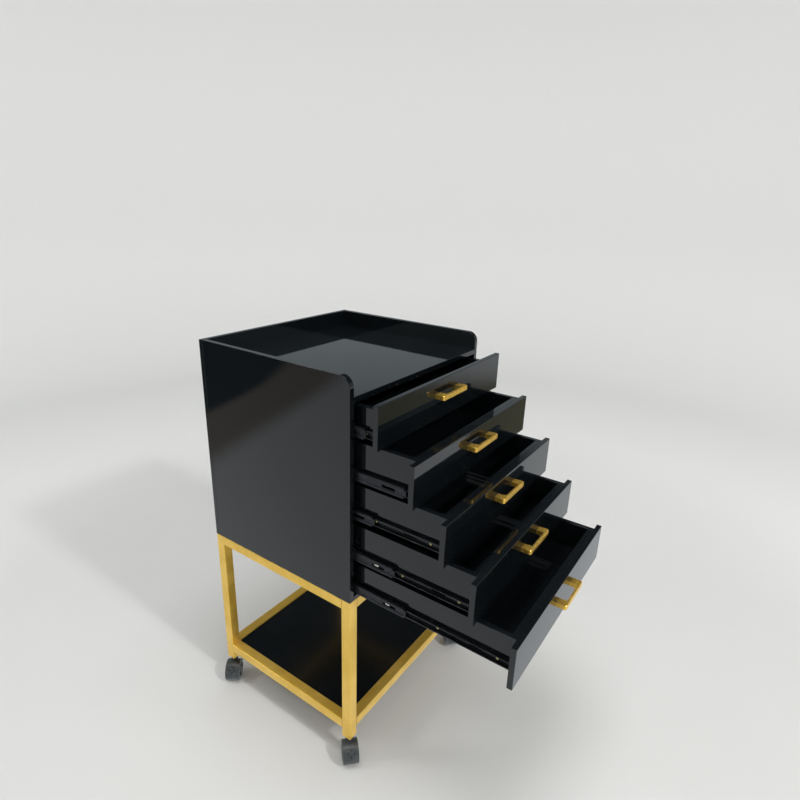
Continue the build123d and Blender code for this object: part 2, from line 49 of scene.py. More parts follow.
# Backdrop: a floor that curves up into a round wall
FLOOR_RADIUS = 2.4
FLOOR_RINGS = (0.02, 0.8, 1.6, FLOOR_RADIUS)
FLOOR_CURVE = 0.9
WALL_TOP = 3.4
CEILING_HOLE = 0.1
STAGE_SEGMENTS = 96
CURVE_STEPS = 14

# The backdrop's tones, and where it turns paler, as distances from the stage's middle
FLOOR_DARK = (0.614, 0.616, 0.608)
FLOOR_LIGHT = (0.636, 0.638, 0.630)
FAR_FLOOR = (0.735, 0.738, 0.730)
WALL = (0.785, 0.788, 0.780)
FAR_FLOOR_EDGE = (0.95, 1.7)
WALL_EDGE = (2.5, 3.3)

# Painted reflection: the lacquer mirrors a glowing shell that only glossy rays see, painted as a pale floor with a
# brown and a dark part behind, and a dim room above.
# Each edge is where one painted glow starts to give way to the next, and where it has done so.
FLOOR_GLOW = (0.70, 0.73, 0.75)
BROWN_GLOW = (0.34, 0.30, 0.26)
DARK_GLOW = (0.035, 0.045, 0.055)
BLACK = (0.0, 0.0, 0.0)
OLIVE_GLOW = (0.21, 0.20, 0.13)
LOW_WALL_GLOW = (0.33, 0.37, 0.39)
BACK_DIRECTION = (0.27, 1.0, 0.0)
BROWN_EDGE = (0.95, 1.15)
DARK_EDGE = (1.37, 1.47)
FRONT_DIRECTION = (0.68, -0.73, 0.0)
OLIVE_NEAR_EDGE = (1.53, 1.59)
OLIVE_FAR_EDGE = (2.05, 2.55)
UP = (0.0, 0.0, 1.0)
LOW_WALL_EDGE = (0.35, 0.75)
CEILING_EDGE = (1.85, 2.2)
PAINTED_REFLECTION_BELOW_STAGE = 0.02

# Square soft lights: place, size, power and colour
LIGHT_TARGET = (0.0, 0.0, 0.45)
LIGHTS = {
    "key_light": ((-0.25, -3.16, 3.15), 0.30, 68.0, (1.0, 0.99, 0.97)),
    "low_front_light": ((-0.25, -2.60, 1.35), 0.9, 1.5, (1.0, 0.99, 0.97)),
    "back_left_light": ((-1.5, 1.9, 2.3), 0.5, 12.0, (0.97, 0.985, 1.0)),
    "overhead_light": ((-0.2, -0.1, 3.0), 1.2, 33.0, (1.0, 0.995, 0.985)),
}
WORLD_COLOUR = (0.98, 0.99, 1.0)
WORLD_STRENGTH = 0.52

# Tones of each finish, darker and lighter, and what shows on its worn edges and in its dust or flakes
LACQUER_TONES = ((0.0032, 0.0044, 0.0054), (0.0044, 0.0058, 0.0068))
LACQUER_WORN = (0.030, 0.032, 0.034)
LACQUER_DUST = (0.045, 0.046, 0.046)
FRAME_GOLD_TONES = ((0.82, 0.505, 0.060), (0.92, 0.595, 0.105))
FRAME_GOLD_FLAKE = (0.95, 0.74, 0.32)
FRAME_GOLD_WORN = (0.86, 0.68, 0.33)
HANDLE_GOLD_TONES = ((1.0, 0.56, 0.080), (1.0, 0.68, 0.145))
HANDLE_GOLD_WORN = (1.0, 0.84, 0.45)
SLIDE_TONES = ((0.026, 0.028, 0.031), (0.036, 0.038, 0.042))
SLIDE_WORN = (0.30, 0.31, 0.32)
ZINC_TONES = ((0.30, 0.25, 0.13), (0.56, 0.47, 0.26))
STEEL_TONES = ((0.34, 0.34, 0.35), (0.62, 0.62, 0.63))
NYLON_TONES = ((0.034, 0.040, 0.042), (0.050, 0.057, 0.058))
NYLON_DUST = (0.11, 0.105, 0.10)
NYLON_WORN = (0.13, 0.13, 0.13)
MILKY_TONES = ((0.62, 0.60, 0.53), (0.76, 0.75, 0.69))
WHEEL_TONES = ((0.020, 0.021, 0.023), (0.070, 0.072, 0.070))
WHEEL_WORN = (0.15, 0.148, 0.143)

# How metallic the gold and zinc finishes are, and how much rougher the shelf is than the cabinet
FRAME_GOLD_METAL = 0.55
HANDLE_GOLD_METAL = 0.85
SLIDE_METAL = 0.85
LACQUER_IOR = 1.5
SHELF_DULLNESS = 0.16
BACKDROP_ROUGHNESS = 0.62

# Patterns of wear and dust, in values between 0 and 1. Plain noise lies mostly in its span.
NOISE_SPAN = (0.35, 0.65)
NOISE_ROUGHNESS = 0.55
WHOLE = (0.0, 1.0)
EVEN = (1.0, 1.0, 1.0)
EDGE_SAMPLES = 4
EDGE_SPAN = (0.80, 0.985)
WEAR_SPAN = (0.42, 0.62)
WEAR_DETAIL = 6.0
PATCH_SIZE = 0.13
PATCH_SPAN = (0.56, 0.64)
GRAIN_FINENESS = 8.0

# The mix node's colour sockets, which share their names with its other sockets
MIX_COLOUR_INPUTS = (6, 7)
MIX_COLOUR_OUTPUT = 2

# Telescopic slides, as the CAD model has them
OUTER_RACE = 10.15 * MM
INNER_RACE = 7.05 * MM
OUTER_BALL_RADIUS = 1.0 * MM
INNER_BALL_RADIUS = 0.65 * MM
OUTER_RACE_DEPTH = 2.6 * MM
INNER_RACE_DEPTH = 4.2 * MM
OUTER_CAGE_SETBACK = 2.0 * MM
INNER_CAGE_SETBACK = 8.0 * MM
BALL_PITCH = 5.0 * MM
BALLS_PER_CAGE = 9
CAGE_THICKNESS = 0.5 * MM
CAGE_WIDTH = 2.2 * MM
BUFFER_DEPTH = 2.6 * MM
BUFFER_THICKNESS = 0.6 * MM
BUFFER_FROM_END = 33.0 * MM
BUFFER_LENGTH = 8.0 * MM
BUFFER_HEIGHT = 3.0 * MM

# Welds between the stand's tubes
TUBE = 20.0 * MM
BEAD_RADIUS = 1.1 * MM
BEAD_STEP = 0.8 * MM
BEAD_RIPPLE = 0.22
BEAD_UNEVENNESS = 0.08
BEAD_SIDES = 8
BEAD_INSET = 2.0 * MM
RANDOM_SEED = 7

# Casters, as the CAD model has them
WHEEL_RADIUS = 20.0 * MM
WHEEL_INNER_FACE = 7.0 * MM
WHEEL_OUTER_FACE = 15.0 * MM
HUB_RADIUS = 6.0 * MM
DISH_RADIUS = 14.5 * MM
DISH_DEPTH = 1.5 * MM
SHOULDER = 1.6 * MM
BORE_RADIUS = 3.2 * MM
GROOVE_DEPTH = 0.35 * MM
GROOVE_HALF_MOUTH = 0.35 * MM
GROOVE_HALF_FLOOR = 0.12 * MM
GROOVE_COUNT = 3
DISH_LIP = 0.4 * MM
HUB_ROUNDING = 0.6 * MM
CAP_RADIUS = 3.4 * MM
CAP_SINK = 0.5 * MM
CAP_SLOPE = 0.4 * MM
CAP_EYE_RADIUS = 0.2 * MM
WHEEL_SEGMENTS = 72
SHOULDER_STEPS = 6
LIP_STEPS = 3
HUB_STEPS = 4
SPOKES = 9
SPOKE_THICKNESS = 1.4 * MM
SPOKE_SINK = 0.35 * MM
SPOKE_ROOT = 0.3 * MM
DUST_CAP_RADIUS = 6.7 * MM
DUST_CAP_BEADS = ((5.4 * MM, 0.9 * MM), (3.0 * MM, 0.6 * MM))
DUST_CAP_SEGMENTS = 48
DUST_CAP_STEPS = 8
HOOD_WELD = 0.01 * MM
HOOD_BEVEL = 0.35 * MM
HOOD_BEVEL_SEGMENTS = 3
HOOD_BEVEL_ANGLE = math.radians(40)

# Edges sharper than these stay sharp when a piece is shaded smooth
SMOOTH_ANGLE = math.radians(35)
WELD_SMOOTH_ANGLE = math.radians(60)
WHEEL_SMOOTH_ANGLE = math.radians(28)

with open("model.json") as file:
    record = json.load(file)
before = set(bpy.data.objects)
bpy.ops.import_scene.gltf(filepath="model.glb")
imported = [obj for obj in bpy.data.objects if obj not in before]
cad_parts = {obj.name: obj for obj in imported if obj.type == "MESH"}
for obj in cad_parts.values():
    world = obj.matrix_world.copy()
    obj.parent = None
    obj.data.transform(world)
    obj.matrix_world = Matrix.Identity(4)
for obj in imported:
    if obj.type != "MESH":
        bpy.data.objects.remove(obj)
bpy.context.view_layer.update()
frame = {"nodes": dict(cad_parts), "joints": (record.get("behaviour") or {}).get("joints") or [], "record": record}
joints = {joint["name"]: joint for joint in frame["joints"]}


# ---- Shader helpers ----

def new_material(name):
    """Return a material, its node tree and its Principled shader."""
    material = bpy.data.materials.new(name)
    material.use_nodes = True
    tree = material.node_tree
    return material, tree, tree.nodes["Principled BSDF"]


def add(tree, kind, **inputs):
    """Add a node and set the inputs that are named."""
    made = tree.nodes.new(kind)
    for name, value in inputs.items():
        made.inputs[name].default_value = value
    return made


def stretched(tree, stretch):
    """Return object coordinates multiplied by a stretch along each axis."""
    coordinates = add(tree, "ShaderNodeTexCoord")
    mapping = add(tree, "ShaderNodeMapping", Scale=stretch)
    tree.links.new(coordinates.outputs["Object"], mapping.inputs["Vector"])
    return mapping.outputs["Vector"]


def noise(tree, scale, detail=4.0, stretch=EVEN):
    """Return a noise value over the object."""
    made = add(tree, "ShaderNodeTexNoise", Scale=scale, Detail=detail, Roughness=NOISE_ROUGHNESS)
    tree.links.new(stretched(tree, stretch), made.inputs["Vector"])
    return made.outputs["Fac"]


def ranged(tree, value, span, to=WHOLE):
    """Return a value mapped smoothly from one span to another, and clamped to it."""
    made = add(tree, "ShaderNodeMapRange")
    made.clamp = True
    made.interpolation_type = "SMOOTHSTEP"
    settings = {"From Min": span[0], "From Max": span[1], "To Min": to[0], "To Max": to[1]}
    for name, number in settings.items():
        made.inputs[name].default_value = number
    tree.links.new(value, made.inputs["Value"])
    return made.outputs["Result"]


def combined(tree, operation, first, second):
    """Return two values put together by a math node."""
    made = add(tree, "ShaderNodeMath")
    made.operation = operation
    for place, value in enumerate((first, second)):
        if isinstance(value, float):
            made.inputs[place].default_value = value
        else:
            tree.links.new(value, made.inputs[place])
    return made.outputs["Value"]


def summed(tree, first, *others):
    """Return the sum of some values."""
    total = first
    for value in others:
        total = combined(tree, "ADD", total, value)
    return total


def fainter(tree, mask, share):
    """Return a mask at a share of its strength."""
    return combined(tree, "MULTIPLY", mask, share)


def mixed(tree, factor, first, second):
    """Return a colour between two colours, each an RGB tuple or another colour output."""
    made = add(tree, "ShaderNodeMix")
    made.data_type = "RGBA"
    tree.links.new(factor, made.inputs["Factor"])
    for place, colour in zip(MIX_COLOUR_INPUTS, (first, second)):
        if isinstance(colour, tuple):
            made.inputs[place].default_value = (*colour, 1.0)
        else:
            tree.links.new(colour, made.inputs[place])
    return made.outputs[MIX_COLOUR_OUTPUT]


def changing(tree, place, edge, below, beyond):
    """Return a colour that changes softly from one to another where a value passes an edge."""
    return mixed(tree, ranged(tree, place, edge), below, beyond)


def vector_value(tree, operation, first, second=None):
    """Return the value that a vector math node makes of one or two vectors."""
    made = add(tree, "ShaderNodeVectorMath")
    made.operation = operation
    tree.links.new(first, made.inputs[0])
    if isinstance(second, tuple):
        made.inputs[1].default_value = second
    elif second is not None:
        tree.links.new(second, made.inputs[1])
    return made.outputs["Value"]


def along(tree, direction):
    """Return how far a point lies along a direction from the object's origin."""
    return vector_value(tree, "DOT_PRODUCT", stretched(tree, EVEN), direction)


def distance_from_origin(tree):
    """Return how far a point lies from the object's origin."""
    return vector_value(tree, "LENGTH", stretched(tree, EVEN))


def bumped(tree, height, depth, below=None):
    """Return a normal bumped by a height, on top of an earlier bump if there is one."""
    made = add(tree, "ShaderNodeBump", Strength=1.0, Distance=depth)
    tree.links.new(height, made.inputs["Height"])
    if below is not None:
        tree.links.new(below, made.inputs["Normal"])
    return made.outputs["Normal"]


def edge_wear(tree, radius, breakup_scale):
    """Return a broken-up mask of the surface's edges."""
    bevel = add(tree, "ShaderNodeBevel", Radius=radius)
    bevel.samples = EDGE_SAMPLES
    geometry = add(tree, "ShaderNodeNewGeometry")
    agreement = vector_value(tree, "DOT_PRODUCT", bevel.outputs["Normal"], geometry.outputs["Normal"])
    edges = ranged(tree, agreement, EDGE_SPAN, to=(1.0, 0.0))
    breakup = ranged(tree, noise(tree, breakup_scale, WEAR_DETAIL), WEAR_SPAN)
    return combined(tree, "MULTIPLY", edges, breakup)


def specks(tree, scale, size):
    """Return a mask of small round specks, such as dust."""
    cells = add(tree, "ShaderNodeTexVoronoi", Scale=scale)
    tree.links.new(stretched(tree, EVEN), cells.inputs["Vector"])
    dots = ranged(tree, cells.outputs["Distance"], span=(0.0, size), to=(1.0, 0.0))
    patches = ranged(tree, noise(tree, scale * PATCH_SIZE, detail=2.0), PATCH_SPAN)
    return combined(tree, "MULTIPLY", dots, patches)


def connect(tree, shader, colour=None, roughness=None, normal=None):
    """Join the finished colour, roughness and normal to the shader."""
    for name, value in (("Base Color", colour), ("Roughness", roughness), ("Normal", normal)):
        if value is not None:
            tree.links.new(value, shader.inputs[name])


# ---- Materials ----

def lacquer_material(name, dullness):
    """Black polished lacquer: faint orange peel, wiped-on smudges, hairline scratches and dust."""
    material, tree, shader = new_material(name)
    shader.inputs["IOR"].default_value = LACQUER_IOR
    clouds = ranged(tree, noise(tree, scale=7.0, detail=3.0), NOISE_SPAN)
    wear = edge_wear(tree, radius=0.8 * MM, breakup_scale=160.0)
    dust = specks(tree, scale=900.0, size=0.13)
    colour = mixed(tree, clouds, *LACQUER_TONES)
    colour = mixed(tree, wear, colour, LACQUER_WORN)
    colour = mixed(tree, dust, colour, LACQUER_DUST)
    wiping = noise(tree, scale=11.0, detail=5.0, stretch=(1.0, 1.0, 2.2))
    smudges = ranged(tree, wiping, span=(0.52, 0.74), to=(0.0, 0.05))
    haze = ranged(tree, noise(tree, scale=70.0), span=(0.35, 0.70), to=(0.035, 0.060))
    hairlines = noise(tree, scale=60.0, detail=3.0, stretch=(0.35, 9.0, 9.0))
    scratches = ranged(tree, hairlines, span=(0.67, 0.72), to=(0.0, 0.06))
    worn = ranged(tree, wear, WHOLE, to=(0.0, 0.15))
    roughness = summed(tree, smudges, haze, dullness, scratches, worn)
    peel = bumped(tree, noise(tree, scale=260.0, detail=1.0), depth=0.010 * MM)
    normal = bumped(tree, dust, depth=0.02 * MM, below=peel)
    connect(tree, shader, colour, roughness, normal)
    return material


def frame_gold_material():
    """Satin metallic gold paint on steel tube: fine flake, light orange peel and worn edges."""
    material, tree, shader = new_material("frame_gold")
    shader.inputs["Metallic"].default_value = FRAME_GOLD_METAL
    clouds = ranged(tree, noise(tree, scale=18.0), NOISE_SPAN)
    flake = ranged(tree, noise(tree, scale=3800.0, detail=1.0), span=(0.56, 0.66))
    wear = edge_wear(tree, radius=0.9 * MM, breakup_scale=120.0)
    colour = mixed(tree, clouds, *FRAME_GOLD_TONES)
    colour = mixed(tree, fainter(tree, flake, share=0.5), colour, FRAME_GOLD_FLAKE)
    colour = mixed(tree, fainter(tree, wear, share=0.6), colour, FRAME_GOLD_WORN)
    marks = ranged(tree, noise(tree, scale=38.0, detail=6.0), span=(0.52, 0.70), to=(0.0, 0.14))
    shine = ranged(tree, flake, WHOLE, to=(0.32, 0.26))
    peel = bumped(tree, noise(tree, scale=420.0, detail=2.0), depth=0.03 * MM)
    normal = bumped(tree, flake, depth=0.006 * MM, below=peel)
    connect(tree, shader, colour, summed(tree, marks, shine), normal)
    return material


def handle_gold_material():
    """Brushed gold plating: grain along the handle, soft fingerprints and brighter worn edges."""
    material, tree, shader = new_material("handle_gold")
    shader.inputs["Metallic"].default_value = HANDLE_GOLD_METAL
    grain = noise(tree, scale=900.0, detail=2.0, stretch=(0.03, 1.0, 1.0))
    streaks = ranged(tree, grain, span=(0.36, 0.64))
    wear = edge_wear(tree, radius=0.7 * MM, breakup_scale=240.0)
    colour = mixed(tree, streaks, *HANDLE_GOLD_TONES)
    colour = mixed(tree, wear, colour, HANDLE_GOLD_WORN)
    prints = ranged(tree, noise(tree, scale=95.0), span=(0.50, 0.68), to=(0.0, 0.14))
    shine = ranged(tree, streaks, WHOLE, to=(0.32, 0.24))
    normal = bumped(tree, grain, depth=0.02 * MM)
    connect(tree, shader, colour, summed(tree, prints, shine), normal)
    return material


def slide_material():
    """Black zinc sheet: rolled streaks along the slide, grease smears and bright rubbed edges."""
    material, tree, shader = new_material("slide_black")
    shader.inputs["Metallic"].default_value = SLIDE_METAL
    rolling = noise(tree, scale=320.0, detail=2.0, stretch=(1.0, 0.05, 1.0))
    streaks = ranged(tree, rolling, span=(0.30, 0.70))
    wear = edge_wear(tree, radius=0.45 * MM, breakup_scale=60.0)
    colour = mixed(tree, streaks, *SLIDE_TONES)
    colour = mixed(tree, wear, colour, SLIDE_WORN)
    smears = noise(tree, scale=45.0, detail=5.0, stretch=(1.0, 0.4, 1.0))
    grease = ranged(tree, smears, span=(0.48, 0.66), to=(0.0, 0.18))
    shine = ranged(tree, streaks, WHOLE, to=(0.24, 0.29))
    normal = bumped(tree, streaks, depth=0.003 * MM)
    connect(tree, shader, colour, summed(tree, shine, grease), normal)
    return material


def bright_metal_material(name, tones, roughness_span, grain_scale):
    """Bare or zinc-plated metal with turning grain and light tarnish."""
    material, tree, shader = new_material(name)
    shader.inputs["Metallic"].default_value = 1.0
    dark, light = tones
    tarnish = ranged(tree, noise(tree, grain_scale, detail=5.0), NOISE_SPAN)
    colour = mixed(tree, tarnish, light, dark)
    roughness = ranged(tree, tarnish, WHOLE, to=roughness_span)
    grain = noise(tree, GRAIN_FINENESS * grain_scale, detail=2.0)
    connect(tree, shader, colour, roughness, bumped(tree, grain, depth=0.006 * MM))
    return material


def nylon_material():
    """Moulded black nylon: spark-eroded grain, flow marks and scuffed edges."""
    material, tree, shader = new_material("nylon_black")
    flow = ranged(tree, noise(tree, scale=60.0), NOISE_SPAN)
    wear = edge_wear(tree, radius=0.5 * MM, breakup_scale=350.0)
    dust = ranged(tree, noise(tree, scale=140.0, detail=6.0), span=(0.50, 0.72))
    colour = mixed(tree, flow, *NYLON_TONES)
    colour = mixed(tree, wear, colour, NYLON_WORN)
    colour = mixed(tree, fainter(tree, dust, share=0.35), colour, NYLON_DUST)
    roughness = ranged(tree, dust, WHOLE, to=(0.36, 0.60))
    grain = bumped(tree, noise(tree, scale=2600.0, detail=2.0), depth=0.02 * MM)
    connect(tree, shader, colour, roughness, grain)
    return material


def buffer_material():
    """Milky nylon with faint flow marks, slightly greasy."""
    material, tree, shader = new_material("nylon_milky")
    flow = ranged(tree, noise(tree, scale=160.0), NOISE_SPAN)
    colour = mixed(tree, flow, *MILKY_TONES)
    roughness = ranged(tree, noise(tree, scale=420.0), NOISE_SPAN, to=(0.32, 0.50))
    grain = bumped(tree, noise(tree, scale=1800.0, detail=2.0), depth=0.01 * MM)
    connect(tree, shader, colour, roughness, grain)
    return material


def tread_material():
    """Hard nylon wheel: rubbed dull by the floor, with grey dust picked up on it."""
    material, tree, shader = new_material("wheel_black")
    dust = ranged(tree, noise(tree, scale=210.0, detail=6.0), span=(0.42, 0.66))
    wear = edge_wear(tree, radius=0.6 * MM, breakup_scale=400.0)
    colour = mixed(tree, dust, *WHEEL_TONES)
    colour = mixed(tree, wear, colour, WHEEL_WORN)
    roughness = ranged(tree, dust, WHOLE, to=(0.38, 0.72))
    grain = bumped(tree, noise(tree, scale=1500.0, detail=3.0), depth=0.03 * MM)
    connect(tree, shader, colour, roughness, grain)
    return material


def stage_material():
    """Pale matte backdrop with the faintest unevenness, paler where the light falls off."""
    material, tree, shader = new_material("backdrop_pale")
    clouds = ranged(tree, noise(tree, scale=1.4, detail=3.0), span=(0.30, 0.70))
    floor = mixed(tree, clouds, FLOOR_DARK, FLOOR_LIGHT)
    reach = distance_from_origin(tree)
    colour = changing(tree, reach, FAR_FLOOR_EDGE, floor, FAR_FLOOR)
    colour = changing(tree, reach, WALL_EDGE, colour, WALL)
    shader.inputs["Roughness"].default_value = BACKDROP_ROUGHNESS
    connect(tree, shader, colour)
    return material


def painted_reflection_material():
    """Paint the reflection of a room as glow, for the lacquer to mirror: floor, brown edge, dark parts and low
    wall.
    """
    material, tree, shader = new_material("painted_reflection_room")
    back = along(tree, BACK_DIRECTION)
    front = along(tree, FRONT_DIRECTION)
    height = along(tree, UP)
    glow = changing(tree, back, BROWN_EDGE, FLOOR_GLOW, BROWN_GLOW)
    glow = changing(tree, back, DARK_EDGE, glow, DARK_GLOW)
    far_front = changing(tree, front, OLIVE_FAR_EDGE, OLIVE_GLOW, FLOOR_GLOW)
    glow = changing(tree, front, OLIVE_NEAR_EDGE, glow, far_front)
    glow = changing(tree, height, LOW_WALL_EDGE, glow, LOW_WALL_GLOW)
    glow = changing(tree, height, CEILING_EDGE, glow, DARK_GLOW)
    shader.inputs["Base Color"].default_value = (*BLACK, 1.0)
    shader.inputs["Roughness"].default_value = 1.0
    shader.inputs["Emission Strength"].default_value = 1.0
    tree.links.new(glow, shader.inputs["Emission Color"])
    material.cycles.emission_sampling = "NONE"
    return material


def make_materials():
    """Return the material for each of the record's slots, for the shelf and for the slides' buffers."""
    return {
        "lacquer": lacquer_material("black_lacquer", 0.0),
        "worn_lacquer": lacquer_material("worn_black_lacquer", SHELF_DULLNESS),
        "gold_frame": frame_gold_material(),
        "gold_handle": handle_gold_material(),
        "slides": slide_material(),
        "screws": bright_metal_material("screw_zinc", ZINC_TONES, (0.16, 0.28), grain_scale=400.0),
        "steel": bright_metal_material("stem_steel", STEEL_TONES, (0.22, 0.38), grain_scale=150.0),
        "nylon": nylon_material(),
        "buffer": buffer_material(),
        "tread": tread_material(),
    }


def dress_cad_nodes(materials):
    """Give every CAD node the material of its slot in the record, and the shelf a duller lacquer."""
    for subpart in frame["record"]["subparts"]:
        node = frame["nodes"][subpart["node"]]
        finish = "worn_lacquer" if subpart["node"] == "shelf_panel" else subpart["material_slot"]
        node.data.materials.clear()
        node.data.materials.append(materials[finish])


# ---- Mesh helpers ----

def finish_piece(name, mesh_builder, body, slot, materials, smooth_angle=SMOOTH_ANGLE):
    """Turn a bmesh into a piece that rides on a body and takes the slot's material."""
    mesh = bpy.data.meshes.new(name)
    bmesh.ops.recalc_face_normals(mesh_builder, faces=mesh_builder.faces)
    mesh_builder.to_mesh(mesh)
    mesh_builder.free()
    piece = bpy.data.objects.new(name, mesh)
    bpy.context.scene.collection.objects.link(piece)
    mesh.materials.append(materials[slot])
    mesh.shade_smooth()
    mesh.set_sharp_from_angle(angle=smooth_angle)
    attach(piece, body)
    return piece


def add_ball(builder, centre, radius):
    """Add a small sphere."""
    place = Matrix.Translation(centre)
    bmesh.ops.create_icosphere(builder, subdivisions=2, radius=radius, matrix=place)


def add_plate(builder, low, high):
    """Add a rectangular plate between two corners and return its vertices."""
    size = [b - a for a, b in zip(low, high)]
    middle = [(a + b) / 2 for a, b in zip(low, high)]
    place = Matrix.Translation(middle) @ Matrix.Diagonal((*size, 1.0))
    return bmesh.ops.create_cube(builder, size=1.0, matrix=place)["verts"]


def join_rings(builder, rings):
    """Add the faces between each ring of vertices and the next."""
    for first, second in zip(rings, rings[1:]):
        count = len(first)
        for step in range(count):
            after = (step + 1) % count
            builder.faces.new((first[step], first[after], second[after], second[step]))


def add_turned(builder, profile, segments, place):
    """Add a solid turned round the X axis from (place along it, radius) points, closed at both ends."""
    rings = []
    for offset, radius in profile:
        ring = []
        for step in range(segments):
            angle = 2 * math.pi * step / segments
            point = (offset, radius * math.cos(angle), radius * math.sin(angle))
            ring.append(builder.verts.new(place @ Vector(point)))
        rings.append(ring)
    join_rings(builder, rings)
    builder.faces.new(rings[0])
    builder.faces.new(rings[-1])


def arc(centre, radius, start, stop, steps):
    """Return the points of an arc in a turned outline's plane, with its angles in degrees."""
    points = []
    for step in range(steps + 1):
        angle = math.radians(start + (stop - start) * step / steps)
        points.append((centre[0] + radius * math.cos(angle), centre[1] + radius * math.sin(angle)))
    return points


# ---- Ball cages in the slides ----

def add_cage(builder, x, front_y, race_z, ball_radius):
    """Add one row of balls with its thin retainer strip, from the front end backwards."""
    length = BALL_PITCH * (BALLS_PER_CAGE + 1)
    add_plate(
        builder,
        (x - CAGE_WIDTH / 2, front_y, race_z - CAGE_THICKNESS / 2),
        (x + CAGE_WIDTH / 2, front_y + length, race_z + CAGE_THICKNESS / 2),
    )
    for ball in range(BALLS_PER_CAGE):
        add_ball(builder, (x, front_y + (ball + 1) * BALL_PITCH, race_z), ball_radius)


def slide_buffers(number, materials):
    """Make the pale nylon buffers that show through the slots of one drawer's middle members."""
    low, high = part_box(f"slide_{number}_middle_members")
    height = (low.z + high.z) / 2
    builder = bmesh.new()
    for side in (-1, 1):
        x = side * (high.x - BUFFER_DEPTH)
        add_plate(
            builder,
            (x - BUFFER_THICKNESS / 2, low.y + BUFFER_FROM_END, height - BUFFER_HEIGHT / 2),
            (x + BUFFER_THICKNESS / 2, low.y + BUFFER_FROM_END + BUFFER_LENGTH, height + BUFFER_HEIGHT / 2),
        )
    finish_piece(f"slide_{number}_buffers", builder, f"slide_{number}_middle", "buffer", materials)


def slide_cages(number, materials):
    """Make the ball cages of one drawer's two slides, outer ones on the cart, inner ones on the middle."""
    member_low, member_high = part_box(f"slide_{number}_middle_members")
    cabinet_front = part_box("slide_cabinet_members")[0].y
    height = (member_low.z + member_high.z) / 2
    outer_x = member_high.x - OUTER_RACE_DEPTH
    inner_x = member_high.x - INNER_RACE_DEPTH
    outer_front = cabinet_front + OUTER_CAGE_SETBACK
    inner_front = member_low.y + INNER_CAGE_SETBACK
    middle = f"slide_{number}_middle"
    rows = (
        ("outer", outer_x, outer_front, OUTER_RACE, OUTER_BALL_RADIUS, "cart"),
        ("inner", inner_x, inner_front, INNER_RACE, INNER_BALL_RADIUS, middle),
    )
    for name, x, front_y, race, ball_radius, body in rows:
        builder = bmesh.new()
        for side in (-1, 1):
            for level in (-1, 1):
                add_cage(builder, side * x, front_y, height + level * race, ball_radius)
        finish_piece(f"slide_{number}_{name}_ball_cages", builder, body, "screws", materials)


# ---- Welds on the stand ----

def add_bead(builder, start, stop, random_source):
    """Add a rippled weld bead from one point to another."""
    run = stop - start
    steps = max(2, round(run.length / BEAD_STEP))
    forward = run.normalized()
    side = forward.orthogonal().normalized()
    other = forward.cross(side)
    rings = []
    for step in range(steps):
        centre = start + run * (step / steps)
        swell = 1.0 + random_source.uniform(-BEAD_UNEVENNESS, BEAD_UNEVENNESS)
        swell += BEAD_RIPPLE if step % 2 else 0.0
        ring = []
        for corner in range(BEAD_SIDES):
            angle = 2 * math.pi * corner / BEAD_SIDES
            offset = side * math.cos(angle) + other * math.sin(angle)
            ring.append(builder.verts.new(centre + offset * BEAD_RADIUS * swell))
        rings.append(ring)
    join_rings(builder, rings)
    builder.faces.new(rings[0])
    builder.faces.new(rings[-1])


def rail_end_beads(corner, low, high, level):
    """Return where the beads start and stop that join a leg to the two rails at one height."""
    corner_x, corner_y, inward_x, inward_y = corner
    inner_x = corner_x + inward_x * TUBE
    inner_y = corner_y + inward_y * TUBE
    outer_x = corner_x + inward_x * BEAD_INSET
    outer_y = corner_y + inward_y * BEAD_INSET
    meeting = Vector((inner_x, inner_y, level))
    return (
        (Vector((inner_x, inner_y, low + BEAD_INSET)), Vector((inner_x, inner_y, high - BEAD_INSET))),
        (Vector((inner_x, outer_y, level)), meeting),
        (Vector((outer_x, inner_y, level)), meeting),
    )


def stand_welds(materials):
    """Make the weld beads at the legs' inner corners, on the rails' facing sides."""
    low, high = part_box("stand_legs")
    rails_low, rails_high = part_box("stand_cross_rails")
    builder = bmesh.new()
    random_source = random.Random(RANDOM_SEED)
    corners = (
        (low.x, low.y, 1, 1),
        (high.x, low.y, -1, 1),
        (low.x, high.y, 1, -1),
        (high.x, high.y, -1, -1),
    )
    lower_top = rails_low.z + TUBE
    upper_bottom = rails_high.z - TUBE
    levels = ((rails_low.z, lower_top, lower_top), (upper_bottom, rails_high.z, upper_bottom))
    for corner in corners:
        for bottom, top, facing in levels:
            for start, stop in rail_end_beads(corner, bottom, top, facing):
                add_bead(builder, start, stop, random_source)
    finish_piece("stand_welds", builder, "cart", "gold_frame", materials, WELD_SMOOTH_ANGLE)


# ---- Casters ----

def groove_points(middle):
    """Return the outline of one groove round the tread."""
    floor = WHEEL_RADIUS - GROOVE_DEPTH
    return [
        (middle - GROOVE_HALF_MOUTH, WHEEL_RADIUS),
        (middle - GROOVE_HALF_FLOOR, floor),
        (middle + GROOVE_HALF_FLOOR, floor),
        (middle + GROOVE_HALF_MOUTH, WHEEL_RADIUS),
    ]


